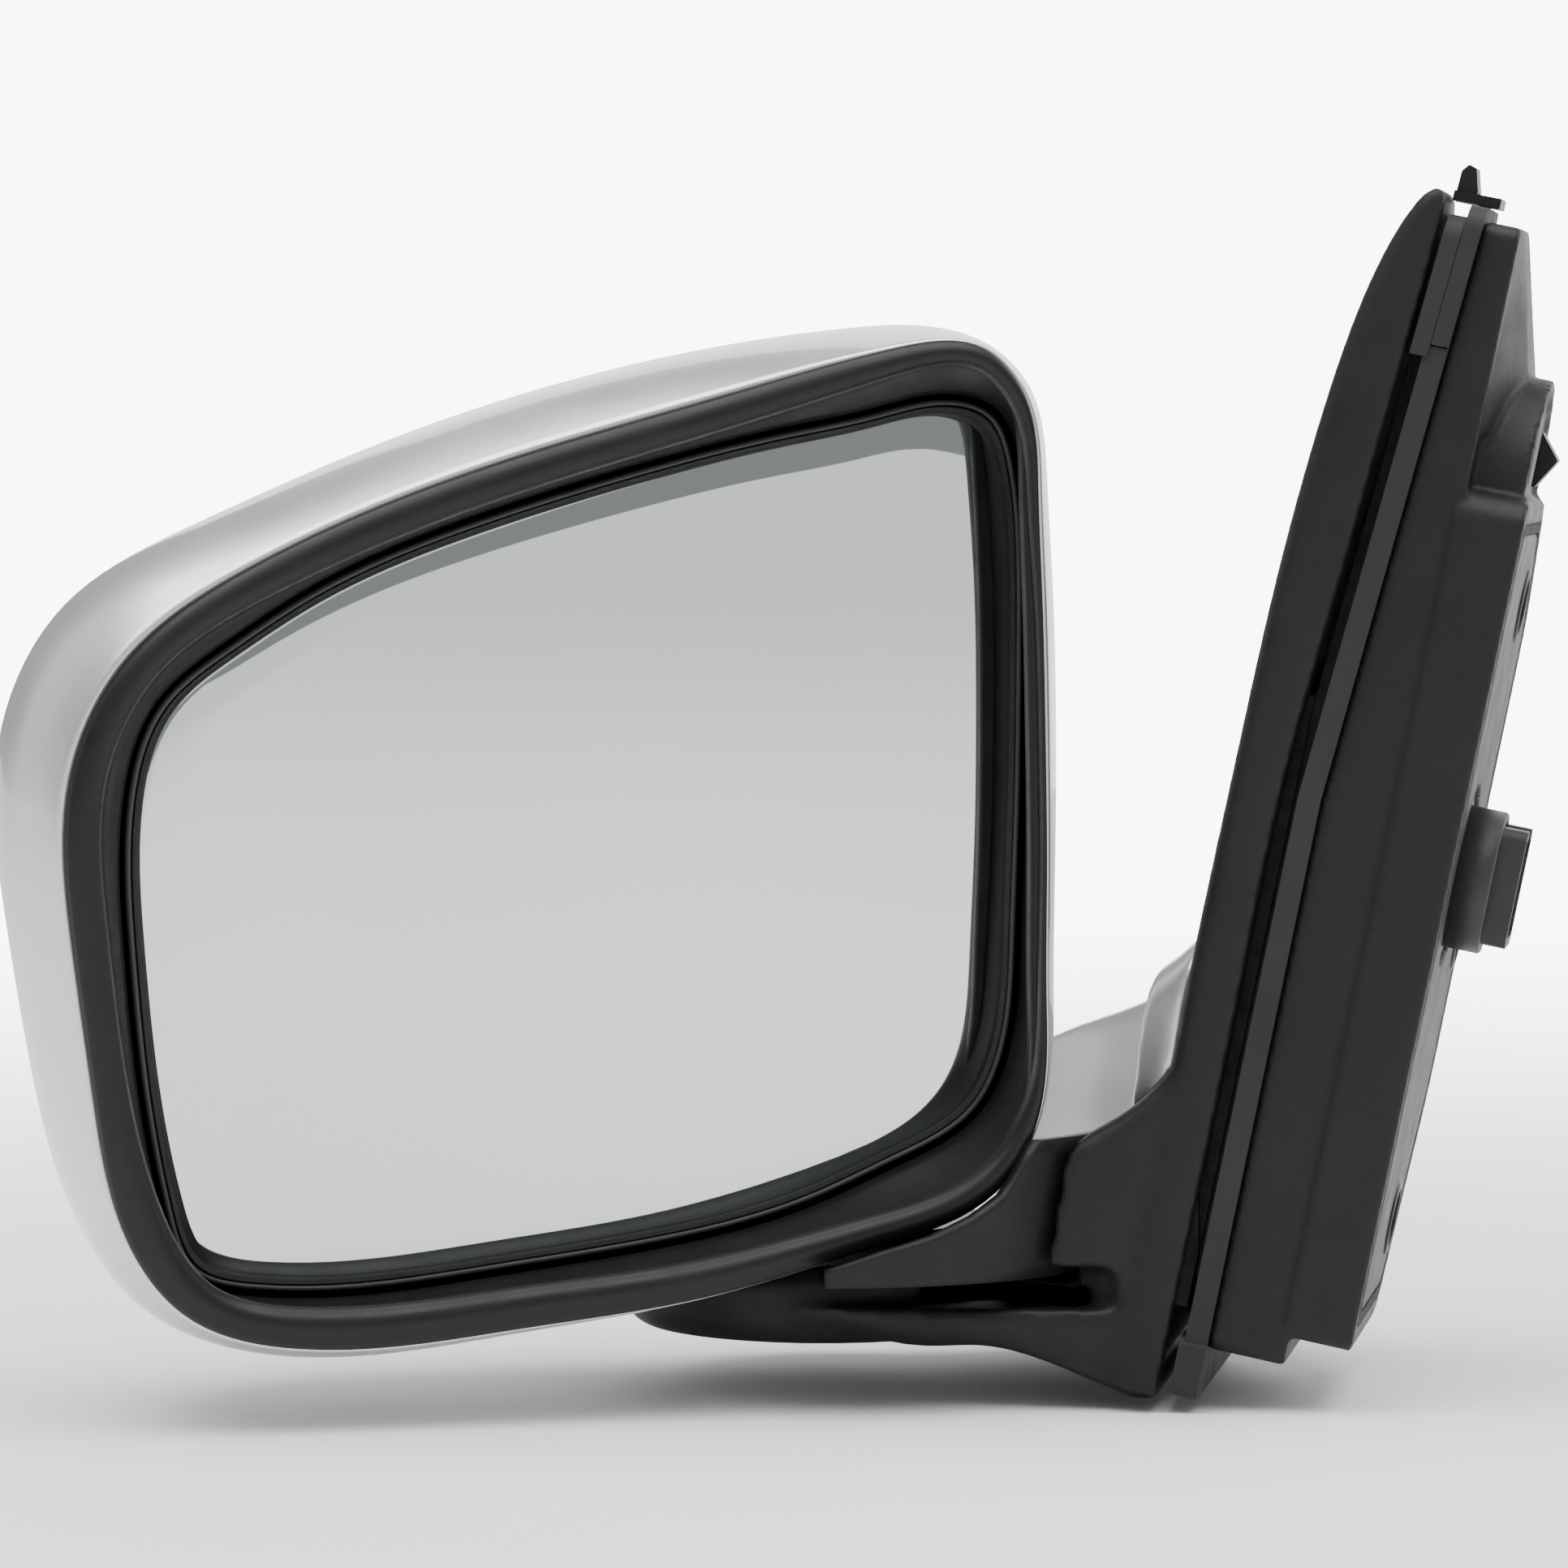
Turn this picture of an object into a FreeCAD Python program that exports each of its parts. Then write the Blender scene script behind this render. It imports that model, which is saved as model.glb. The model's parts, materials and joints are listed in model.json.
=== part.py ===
"""Left-hand door mirror of a car: power-adjusted glass in a head that folds by hand.

Row frame: +X towards the door, +Y forward, +Z up, origin at the centre of the mounting
pad's face.  Three working frames are used:
  base frame   leans with the door about +Y (x towards the door, z up the pad)
  head frame   x across the head towards the door, y forward, z up, at the rim's middle
  glass frame  x across the glass, y forward, z up, origin at the tilt pivot
Parts are drawn in the frame they belong to and then placed.
"""
import FreeCAD, Part
import math
import os
from FreeCAD import Placement, Rotation, Vector

# ---------------------------------------------------------------- driving dimensions
LEAN = 11.5                       # door side leans inboard, degrees
HEAD_YAW, HEAD_PITCH = 23.0, 3.0  # rim faces inboard and slightly down, degrees
HEAD_AT = Vector(-167.4, -79.5, 19.5)
AXIS = Vector(-129.0, 0.0, 0.0)   # fold axis, vertical
GLASS_YAW, GLASS_PITCH = 2.5, 2.0  # glass turned this much further than the rim
GLASS_AT = Vector(6.0, 15.0, -5.0)  # middle of the glass surface, head frame
PIVOT_DEPTH = 14.0                # tilt pivot behind the glass surface
SHELL_DEPTH = 93.0                # rim to nose of the painted shell
WALL = 2.5                        # moulded wall
SKIN = 3.0                        # base cover wall
GAP = 0.4                         # gap between separate mouldings

PAD_FACE, PAD_BACK = 0.0, -12.5   # raised pad, base frame x
BLOCK_BACK = -28.0
SEAL_BACK = -32.5
BLADE_BACK = -36.0
BLADE_OUT = -46.5
BEND_Z = 20.0                     # above this the layers lean towards the door
LAYER_RISE = 0.07                 # by this much per mm
REAR = -34.0                      # rear edge of the base, y

DOOR_SIDE = [(-34, -92), (-34, 138), (-4, 138), (56, 66), (64, 10), (62, -66), (42, -92)]
DOOR_SOFT = [4, 3, 10, 24, 40, 24, 14]
PAD_SIDE = [(-35, -86), (-35, 86), (24, 86), (48, 60), (50, -40), (24, -86)]
PAD_SOFT = [3, 6, 14, 20, 30, 12]

POD_R = 41.0
POD_TOP, POD_BOTTOM = -70.2, -85.0
SWEEP_R = 71.0                    # the head's door end turns inside this radius
RIM_LOW = -75.3                   # lowest the rim passes over the arm's rear edge
SHAFT_R, SHAFT_BORE = 7.0, 5.0
LEAD_R = 2.0                      # wire bundle
LEAD_TOP = -20.0                  # where the base's wires hand over to the head's
NECK_R = 33.0
DETENT_R = 24.0
PLUG_R = 9.0
JACK_ARM = 30.0                   # jack screws stand this far from the pivot
GEAR_TEETH = 24
RIM_DEPTH = 8.0                   # the bezel's outer skirt
THROAT_END = 34.0                 # the bezel's funnel ends behind the glass

# ---------------------------------------------------------------- placements
BASE = Placement(Vector(0, 0, 0), Rotation(Vector(0, 1, 0), LEAN))
HEAD = Placement(HEAD_AT, Rotation(Vector(0, 0, 1), HEAD_YAW).multiply(
    Rotation(Vector(1, 0, 0), HEAD_PITCH)))
GLASS_TURN = Rotation(Vector(0, 0, 1), GLASS_YAW).multiply(
    Rotation(Vector(1, 0, 0), GLASS_PITCH))
GLASS_IN_HEAD = Placement(GLASS_AT + GLASS_TURN.multVec(Vector(0, PIVOT_DEPTH, 0)), GLASS_TURN)
GLASS = HEAD.multiply(GLASS_IN_HEAD)

X, Y, Z = Vector(1, 0, 0), Vector(0, 1, 0), Vector(0, 0, 1)
parts = {}


# ---------------------------------------------------------------- small helpers
def add(name, shape, frame=None):
    """Keep a finished shape, drawn in `frame`, as the sub-part `name`."""
    shape = shape.copy()
    if frame is not None:
        shape.Placement = frame.multiply(shape.Placement)
    parts[name] = shape


def box(x0, x1, y0, y1, z0, z1):
    return Part.makeBox(x1 - x0, y1 - y0, z1 - z0, Vector(x0, y0, z0))


def rod(radius, start, end):
    """Solid cylinder between two points."""
    start, end = Vector(*start), Vector(*end)
    return Part.makeCylinder(radius, (end - start).Length, start, end - start)


def tube(outer, inner, start, end):
    start, end = Vector(*start), Vector(*end)
    reach = (end - start).normalize() * 1.0
    return rod(outer, start, end).cut(rod(inner, start - reach, end + reach))


def join(shapes):
    shapes = list(shapes)
    return shapes[0].fuse(shapes[1:]).removeSplitter() if len(shapes) > 1 else shapes[0]


def group(shapes):
    return Part.makeCompound(list(shapes))


def lathe(profile, centre=Vector(0, 0, 0)):
    """Turn an (r, z) outline about a vertical axis through `centre`."""
    points = [centre + Vector(r, 0, z) for r, z in profile]
    face = Part.Face(Part.makePolygon(points + points[:1]))
    return face.revolve(centre, Z, 360)


def smooth_ring(points):
    """Closed smooth curve through points."""
    curve = Part.BSplineCurve()
    curve.interpolate(Points=points, PeriodicFlag=True)
    return Part.Wire([curve.toShape()])


def rounded(points, radius):
    """Closed polygon of (a, b) points with every corner rounded; one radius or one per corner."""
    count = len(points)
    radii = radius if isinstance(radius, (list, tuple)) else [radius] * count
    flat = [Vector(a, b, 0) for a, b in points]
    edges, last = [], None
    first = None
    for i in range(count):
        before, here, after = flat[i - 1], flat[i], flat[(i + 1) % count]
        back, ahead = (before - here).normalize(), (after - here).normalize()
        half = back.getAngle(ahead) / 2
        trim = radii[i] / math.tan(half)
        start, end = here + back * trim, here + ahead * trim
        middle = (back + ahead).normalize()
        peak = here + middle * (radii[i] / math.sin(half) - radii[i])
        if last is not None and (start - last).Length > 1e-6:
            edges.append(Part.LineSegment(last, start).toShape())
        edges.append(Part.Arc(start, peak, end).toShape())
        first = first or start
        last = end
    if (first - last).Length > 1e-6:
        edges.append(Part.LineSegment(last, first).toShape())
    return Part.Wire(edges)


def side_plate(points, radius, x0, x1):
    """Plate with a (y, z) outline between two x planes."""
    face = Part.Face(rounded(points, radius))
    face.Placement = Placement(Vector(x0, 0, 0), Rotation(Vector(1, 1, 1), 120))
    return face.extrude(Vector(x1 - x0, 0, 0))


def front_plate(points, radius, y0, y1):
    """Plate with an (x, z) outline between two y planes."""
    face = Part.Face(rounded(points, radius))
    face.Placement = Placement(Vector(0, y0, 0), Rotation(Vector(1, 0, 0), 90))
    return face.extrude(Vector(0, y1 - y0, 0))


def door_outline(distance):
    """Side outline (y, z) of the base next to the door, moved outward by a distance."""
    return grow_polygon(DOOR_SIDE, distance)


def grow_polygon(points, distance):
    """Move every side of a clockwise polygon outward by a distance."""
    result = []
    for i, here in enumerate(points):
        before, after = points[i - 1], points[(i + 1) % len(points)]
        one = Vector(here[0] - before[0], here[1] - before[1], 0).normalize()
        two = Vector(after[0] - here[0], after[1] - here[1], 0).normalize()
        normal_one, normal_two = Vector(-one.y, one.x, 0), Vector(-two.y, two.x, 0)
        corner = (normal_one + normal_two).normalize()
        reach = distance / corner.dot(normal_one)
        result.append((here[0] + corner.x * reach, here[1] + corner.y * reach))
    return result


def rectangle(x0, x1, z0, z1):
    return [(x0, z0), (x1, z0), (x1, z1), (x0, z1)]


# ---------------------------------------------------------------- outlines of the head
# (x, z) in the head frame, anticlockwise from the middle of the door end
RIM = [(98.3, -8), (97.6, 18), (96.6, 44), (95.4, 68), (92.4, 86), (84, 95), (66, 95.5),
       (33, 86.8), (-15, 73.3), (-62, 52.4), (-85, 35.5), (-95, 12), (-94.6, -20), (-90.5, -50),
       (-83.5, -79), (-73, -92.5), (-51, -99.7), (-6, -97), (30, -92), (66, -82.5), (89, -72.5),
       (97.4, -58), (98.7, -34)]
LIP = [(97, -8), (96.3, 18), (95.1, 44), (93.4, 66), (90.6, 82), (83, 91), (65, 91),
       (32.5, 81.2), (-13, 66.5), (-58, 47), (-79.5, 32), (-88.3, 11), (-87.8, -18),
       (-84, -46), (-77.5, -71), (-67.5, -87.3), (-49, -93), (-6, -91.2), (28, -87),
       (63, -78.5), (85, -68.5), (94.7, -55.5), (97, -34)]
WIDE = [(105.3, -8), (105.2, 18), (104.2, 44), (102.4, 68), (98.2, 87), (87, 96.5), (67, 98),
        (32, 92.8), (-18, 79), (-67, 58.5), (-92, 43), (-105.3, 15), (-104, -18), (-99, -48),
        (-91, -77), (-79, -94.5), (-56, -104.2), (-8, -102), (28, -96), (64, -86.5), (91, -76),
        (103, -59), (105.3, -34)]
THROAT = [(101.3, -9), (100.8, 16), (99.4, 42), (97.2, 64), (93.4, 80), (85, 87.6), (66, 87.4),
          (33, 80), (-13, 67), (-57, 47.5), (-78, 31.5), (-86.3, 9), (-86, -18), (-83.2, -46),
          (-79, -72), (-72, -90), (-53, -96.6), (-6, -95.6), (29, -91.4), (65, -82.5),
          (88.5, -71), (99, -56), (101.2, -34)]
GLASS_EDGE = [(91.9, -22), (92.3, 5), (91.4, 35), (90.2, 58), (88.2, 71.5), (81.5, 80.8),
              (72, 82.7), (40, 76.6), (0, 66), (-50, 47), (-76, 31), (-85.7, 12), (-86.4, -10),
              (-83.2, -45), (-76.6, -71.5), (-69.5, -83.6), (-58, -85), (-15, -82.5), (28, -77.5),
              (52, -68.5), (79.5, -50.5), (88, -36)]


def grow(points, distance):
    """Move the points of a closed outline outward by a distance."""
    result = []
    for i, (a, b) in enumerate(points):
        before, after = points[i - 1], points[(i + 1) % len(points)]
        along = Vector(after[0] - before[0], after[1] - before[1], 0).normalize()
        result.append((a + along.y * distance, b - along.x * distance))
    return result


def blend_outline(first, second, share):
    return [(a + (c - a) * share, b + (d - b) * share) for (a, b), (c, d) in zip(first, second)]


def shrink_towards(points, centre, scale_x, scale_z):
    return [(centre[0] + (a - centre[0]) * scale_x, centre[1] + (b - centre[1]) * scale_z)
            for a, b in points]


def loft(sections, closed=True):
    """Solid through smooth sections given as (y, outline)."""
    wires = [smooth_ring([Vector(a, y, b) for a, b in outline]) for y, outline in sections]
    return Part.makeLoft(wires, closed, False)


def shell_sections(inset):
    """Sections of the painted shell, from the rim to the nose."""
    nose = (8.0, -50.0)
    rows = [(0.0, RIM), (9.0, blend_outline(RIM, WIDE, 0.66)), (24.0, WIDE),
            (42.0, shrink_towards(WIDE, nose, 0.99, 0.975)),
            (60.0, shrink_towards(WIDE, nose, 0.945, 0.905)),
            (76.0, shrink_towards(WIDE, nose, 0.83, 0.765)),
            (88.0, shrink_towards(WIDE, nose, 0.58, 0.5)),
            (SHELL_DEPTH, shrink_towards(WIDE, nose, 0.3, 0.25))]
    if inset:
        rows[0] = (-1.0, RIM)
        rows[-1] = (SHELL_DEPTH - inset, rows[-1][1])
    return [(y, grow(outline, -inset)) for y, outline in rows]


def head_volume(inset):
    return loft(shell_sections(inset))


# ---------------------------------------------------------------- head: shell and bezel
def make_bezel():
    """Rim face, outer skirt and the funnel that runs back round the glass."""
    skirt = head_volume(0.0).common(skirt_space())
    skirt = skirt.cut(loft([(2.8, grow(RIM, -2.6)), (RIM_DEPTH + 1, grow(RIM, -2.6))]))
    face = loft([(-1.6, blend_outline(RIM, LIP, 0.45)), (0.0, grow(RIM, -0.2)),
                 (3.4, grow(RIM, -0.4))])
    wall = loft([(3.0, grow(LIP, 2.0)), (18.0, grow(THROAT, 2.0)),
                 (THROAT_END, grow(THROAT, 2.0))])
    collar = wall.common(skirt_space()).common(head_volume(0.2))
    wall = wall.common(head_volume(WALL + GAP)).fuse(collar)
    hollow = loft([(-4.0, grow(LIP, 1.6)), (0.0, grow(LIP, 0.2)), (4.0, LIP), (18.0, THROAT),
                   (THROAT_END + 1, THROAT)])
    return skirt.fuse([face, wall]).cut(hollow)


def skirt_space():
    return box(-150, 150, -1, RIM_DEPTH, -150, 150)


def make_housing():
    """Painted shell: the whole head behind the bezel, open underneath at the pivot."""
    outer = head_volume(0.0).common(box(-150, 150, RIM_DEPTH + GAP, 150, -150, 150))
    shell = outer.cut(head_volume(WALL))
    return shell.cut([in_head(below_head()), in_head(pivot_rod(NECK_R + GAP, -90, -50))])


def in_head(shape):
    """A shape drawn in the row frame, seen from the head frame."""
    shape = shape.copy()
    shape.Placement = HEAD.inverse().multiply(shape.Placement)
    return shape


def pivot_rod(radius, z0, z1):
    return rod(radius, (AXIS.x, AXIS.y, z0), (AXIS.x, AXIS.y, z1))


def pivot_tube(outer, inner, z0, z1):
    return tube(outer, inner, (AXIS.x, AXIS.y, z0), (AXIS.x, AXIS.y, z1))


def below_head():
    """Space over the pod that the head's underside keeps clear of."""
    return pivot_rod(POD_R + 2.0, -100, POD_TOP + 1.6)


# ---------------------------------------------------------------- base: cover, arm and pod
# horizontal slices of the blade, base frame: z, back x, outer x, front y
BLADE = [(-103, -36.0, -43.0, 46), (-98, -36.0, -46.0, 56), (-60, -36.0, -46.9, 70),
         (-20, -36.0, -46.9, 72), (20, -36.0, -46.6, 71), (60, -33.3, -46.0, 64),
         (90, -31.2, -44.2, 43), (115, -29.4, -41.2, 21), (130, -28.4, -37.6, 7),
         (139, -28.0, -33.8, -2), (142.5, -28.0, -31.0, -9)]
# upright slices of the arm: x at the foot, lean share, rear y, front y, foot z, top z
ARM = [(-129, 0.0, -POD_R, POD_R, POD_BOTTOM, POD_TOP), (-108, 0.0, -41.0, 48, -84.6, -69.0),
       (-92, 0.1, -40.0, 58, -84.8, -58.0), (-80, 0.3, -39.0, 65, -87.2, -45.0),
       (-71, 0.55, -37.6, 68, -90.6, -38.5), (-65, 0.8, -36.6, 69, -93.0, -31.0),
       (-60, 1.0, -35.8, 70, -95.0, -12.0), (-54.5, 1.0, -35.0, 70, -95.5, 6.0)]
# the casting's stretch through the arm: x, rear y, front y, foot z, top z
CORE = [(-129, -30, 30, -81.0, -73.4), (-95, -33, 42, -80.6, -73.4), (-80, -32, 47, -82.5, -62.0),
        (-68, -31, 52, -86.0, -50.0), (-48, -30, 54, -89.0, -34.0)]
# painted fairing over the arm: x, rear y, front y, foot z, top z
FAIRING = [(-102, 8, 74, -60, -24), (-85, -2, 75, -58, -17), (-70, -12, 75, -54, -13),
           (-60, -20, 73, -50, -9.5), (-48, -26, 71, -44, 0)]
TOP_FALL = 0.13       # the arm's top drops this much per mm towards the front


def blade():
    """Sail-shaped plate of the outer cover, base frame."""
    wires = []
    for z, x_back, x_out, y_front in BLADE:
        thick = x_back - x_out
        corners = [(x_back, REAR - 3), (x_out, REAR - 3), (x_out + 0.12 * thick, y_front),
                   (x_back, y_front)]
        soft = min(4.6, thick * 0.42)
        wire = rounded(corners, [0.8, soft, soft, 0.8])
        wire.Placement = Placement(Vector(0, 0, z), Rotation())
        wires.append(wire)
    return Part.makeLoft(wires, True, False)


def arm():
    """Low arm that flares from the pod into the blade, row frame."""
    wires = []
    for x, share, rear, front, foot, top in ARM:
        fall = TOP_FALL * (front - rear) * min(1.0, (top - POD_TOP) / 20.0)
        height = top - foot
        soft = min(6.5, height * 0.4)
        corners = [(rear, foot), (front, foot + 2), (front, top - fall), (rear, top)]
        face = rounded(corners, [soft, soft, soft, soft * 0.6])
        face.Placement = Placement(Vector(0, 0, 0), Rotation(Vector(1, 1, 1), 120))
        tilt = Placement(Vector(x, 0, POD_BOTTOM), Rotation(Y, LEAN * share))
        face.Placement = tilt.multiply(Placement(Vector(0, 0, -POD_BOTTOM), Rotation())).multiply(
            face.Placement)
        wires.append(face)
    return Part.makeLoft(wires, True, False)


def pod():
    """Round pod under the pivot, with a soft lower edge and a small step at the top."""
    solid = pivot_rod(POD_R, POD_BOTTOM, POD_TOP)
    lower = [edge for edge in solid.Edges if edge.CenterOfMass.z < POD_BOTTOM + 0.1]
    step = pivot_tube(POD_R + 5, POD_R - 2.5, POD_TOP - 1.8, POD_TOP + 1)
    return solid.makeFillet(6.0, lower).cut(step)


def clear_head(shape, margin):
    """Cut away the space the head's door end needs as it turns, over the arm."""
    near = [(0, POD_TOP), (POD_R, POD_TOP), (62.4, -71.3), (63.4, -60), (65.2, -47), (67.2, -38),
            (SWEEP_R, -12), (SWEEP_R, 160), (0, 160)]
    space = lathe([(r + margin * (r > 0), z - margin * (z < 100)) for r, z in near], AXIS)
    space.Placement = Placement(AXIS, Rotation(Z, 180)).multiply(Placement(-AXIS, Rotation()))
    low = pivot_tube(74 + margin, POD_R + 0.6, RIM_LOW - margin, POD_TOP + 2)
    quarter = box(0, 90, -90, 0, -100, 0)
    quarter.Placement = Placement(AXIS, Rotation(Z, -28))
    return shape.cut(space).cut(low.common(quarter))


def outer_base():
    """Outer form of the black cover: blade, arm and pod, clear of the turning head."""
    sail = blade()
    sail.Placement = BASE
    return clear_head(arm().fuse([sail]), 1.3).fuse([pod()])


def arm_core(inset):
    """Plain hollow inside the arm that the casting fills, row frame."""
    wires = []
    for x, y_rear, y_front, z_foot, z_top in CORE:
        rear, front, foot, top = y_rear + inset, y_front - inset, z_foot + inset, z_top - inset
        corners = [Vector(x, rear, foot), Vector(x, front, foot), Vector(x, front, top - 5),
                   Vector(x, rear, top)]
        wires.append(Part.makePolygon(corners + corners[:1]))
    return Part.makeLoft(wires, True, True)


def cover_hollow(inset):
    """Space inside the black cover; with an inset, the casting's outer form."""
    disc = pivot_rod(POD_R - SKIN - inset, POD_BOTTOM + SKIN + inset, POD_TOP - 2.6 - inset)
    sail = side_plate(door_outline(-6.0 - inset), 8.0, BLADE_OUT + 4.0 + inset, BLADE_BACK + 2)
    sail = sail.common(box(-60, 0, -80, 100, -130, BEND_Z + 20 - inset))
    sail.Placement = BASE
    reach = box(-300, BLADE_BACK + 2, -100, 100, -150, 150)
    reach.Placement = BASE
    return clear_head(disc.fuse([arm_core(inset), sail]).common(reach), 2.6 + inset)


def in_base(shape):
    """A base-frame shape put in the row frame."""
    shape = shape.copy()
    shape.Placement = BASE.multiply(shape.Placement)
    return shape


def make_cover():
    """Black textured cover, open towards the door and over the pod."""
    mouth = pivot_rod(DETENT_R + 1.5, POD_TOP - 10, POD_TOP + 5)
    drain = pivot_rod(PLUG_R + 0.05, POD_BOTTOM - 5, POD_TOP)
    return outer_base().cut([cover_hollow(0.0), mouth, drain])


def make_fairing():
    """Painted cover on the arm's forward half, row frame."""
    wires = []
    for x, y_rear, y_front, z_foot, z_top in FAIRING:
        corners = [(y_rear, z_foot), (y_front, z_foot - 8), (y_front + 1, z_top - 16),
                   (y_rear + 2, z_top)]
        wire = rounded(corners, [1.0, 1.0, 14.0, 9.0])
        wire.Placement = Placement(Vector(x, 0, 0), Rotation(Vector(1, 1, 1), 120))
        wires.append(wire)
    solid = clear_head(Part.makeLoft(wires, True, False), 0.0)
    plate = blade()
    plate.Placement = BASE
    arm_solid = arm()
    return solid.cut([plate, arm_solid, in_base(box(BLADE_BACK - 3, 60, -100, 120, -150, 170))])


# ---------------------------------------------------------------- base: door side
NUTS = [(14, 64), (12, -64), (36, -6)]          # y, z of the threaded inserts, base frame
NUT_R, NUT_BORE = 6.0, 2.5
POST_R = 9.0
PLUG_AT = (0.0, 8.5)                            # connector centre, y, z
PLUG_TOP = 36.0                                 # back of the drive's plug
RECESS_R = 18.8
SCREWS = [(-18, 104), (-20, -76), (40, 44), (40, -62)]


def base_rod(radius, x0, x1, at):
    return rod(radius, (x0, at[0], at[1]), (x1, at[0], at[1]))


def layer(x0, x1, outline, soft):
    """Plate between two x surfaces that lean towards the door above the bend."""
    rise = LAYER_RISE * (150 - BEND_Z)
    profile = [(x0, -130), (x1, -130), (x1, BEND_Z), (x1 + rise, 150), (x0 + rise, 150), (x0, BEND_Z)]
    points = [Vector(x, -90, z) for x, z in profile]
    slab = Part.Face(Part.makePolygon(points + points[:1])).extrude(Vector(0, 200, 0))
    return side_plate(outline, soft, x0, x1 + rise).common(slab)


def rise_at(z):
    return LAYER_RISE * max(0.0, z - BEND_Z)


def make_bracket():
    """Die-cast core: pod disc, arm spine, door plate and the posts for the door bolts."""
    core = cover_hollow(GAP)
    plate = in_base(layer(BLADE_BACK + 0.8, SEAL_BACK, door_outline(-8.0), 8.0))
    slice_off = in_base(box(-200, 60, -200, 200, -200, -85))
    posts = [in_base(base_rod(POST_R, SEAL_BACK - 2 + rise_at(at[1] + POST_R), PAD_BACK - 2, at))
             for at in NUTS]
    hub = pivot_rod(14.0, POD_BOTTOM + 6, POD_TOP)
    casting = core.fuse([plate] + posts + [hub])
    drills = [in_base(base_rod(NUT_BORE, PAD_BACK - 12, 1, at)) for at in NUTS]
    drills += [in_base(base_rod(1.6, BLADE_BACK - 1, SEAL_BACK + 8, at)) for at in SCREWS]
    return casting.cut(drills + [slice_off, pivot_rod(SHAFT_R, -90, -60), duct(),
                                 pivot_rod(PLUG_R + GAP, -90, POD_BOTTOM + 8)])


def lead_points():
    """Line of the wires from the connector through the arm to the pivot."""
    start = BASE.multVec(Vector(-3.6, PLUG_AT[0], PLUG_AT[1]))
    knee = BASE.multVec(Vector(-30, 0, PLUG_AT[1] - 4))
    return [start, knee, Vector(-56, 0, POD_BOTTOM + 8), Vector(AXIS.x + 40, 0, POD_BOTTOM + 8),
            Vector(AXIS.x, 0, POD_BOTTOM + 5.2)]


def cable(radius, points):
    """Round cable along straight runs with ball corners."""
    runs = [rod(radius, a, b) for a, b in zip(points, points[1:])]
    return join(runs + [Part.makeSphere(radius, corner) for corner in points[1:-1]])


def duct():
    """Passage for the wires through the casting."""
    return cable(3.8, lead_points())


def make_base_harness():
    return cable(LEAD_R, lead_points() + [AXIS + Vector(0, 0, LEAD_TOP)])


def make_head_harness():
    """Wires from the pivot round the head frame to the drive's plug, glass frame."""
    turn = GLASS.inverse()
    foot = turn.multVec(AXIS + Vector(0, 0, LEAD_TOP + 0.5))
    top = turn.multVec(AXIS + Vector(0, 0, LEAD_TOP + 14))
    return cable(LEAD_R, [foot, top, Vector(60, 44, -6), Vector(8, 44, 0), Vector(0, 40, 0),
                          Vector(0, PLUG_TOP + 0.05, 0)])


def make_drive_plug():
    return box(-7, 7, DRIVE_BACK + 0.1, PLUG_TOP, -5, 5)


def make_door_base():
    """Stepped moulding: sail-shaped block and the raised pad that meets the door."""
    block = layer(BLOCK_BACK, BLOCK_BACK + 18, door_outline(0.0), DOOR_SOFT).common(
        box(-60, PAD_BACK, -80, 100, -130, 150)).fuse(
        side_plate(door_outline(0.0), DOOR_SOFT, PAD_BACK - 6, PAD_BACK))
    pad = side_plate(PAD_SIDE, PAD_SOFT, PAD_BACK - 1, PAD_FACE)
    bevel = front_plate([(-4.5, 95), (1, 95), (1, 82.5)], 0.2, -40, 60)
    pad = pad.cut(bevel)
    low = [Vector(PAD_BACK, -32, 97), Vector(-4, -8, 97), Vector(-3, 10, 97),
           Vector(PAD_BACK, 20, 97)]
    high = [Vector(PAD_BACK, -32, 137), Vector(-12, -22, 137), Vector(-12, -12, 137),
            Vector(PAD_BACK, -6, 137)]
    rails = [Part.makePolygon(low + low[:1]), Part.makePolygon(high + high[:1])]
    wedge = Part.makeLoft(rails, True, True)
    boss = base_rod(22, PAD_BACK - 1, -1.6, (-6, 88)).cut(base_rod(19.4, -2.6, 1, (-6, 88)))
    solid = block.fuse([pad, wedge, boss])
    pocket = side_plate(door_outline(-4.0), 8.0, BLOCK_BACK - 1, PAD_BACK - WALL)
    pocket = pocket.common(box(-60, 0, -80, 100, -130, 122))
    deep = side_plate(grow_polygon(PAD_SIDE, -4.0), 5.0, PAD_BACK - 6, PAD_FACE - WALL - 1)
    posts = [base_rod(POST_R + GAP + 2.2, BLOCK_BACK, PAD_FACE - 1, at) for at in NUTS]
    ribs = [box(BLOCK_BACK, PAD_BACK, -33, 58, z, z + 2) for z in (-40, 36, 100)]
    ribs = [rib.common(layer(BLOCK_BACK, PAD_BACK, door_outline(-1.0), 8.0)) for rib in ribs]
    solid = solid.cut([pocket, deep]).fuse(posts + ribs)
    cuts = [base_rod(POST_R + GAP, BLOCK_BACK - 1, PAD_BACK - 2 + GAP, at) for at in NUTS]
    cuts += [base_rod(NUT_R, PAD_BACK - 2, 1, at) for at in NUTS]
    cuts += [base_rod(RECESS_R, -3.2, 1, PLUG_AT), base_rod(9.0, BLOCK_BACK - 1, 0, PLUG_AT)]
    cuts += [pad_ring(0.0), base_rod(40, -40, BLOCK_BACK, (0, 0)),
             box(BLOCK_BACK - 1, PAD_BACK - 4, -9, 9, 0, PLUG_AT[1])]
    return solid.cut(cuts)


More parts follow.
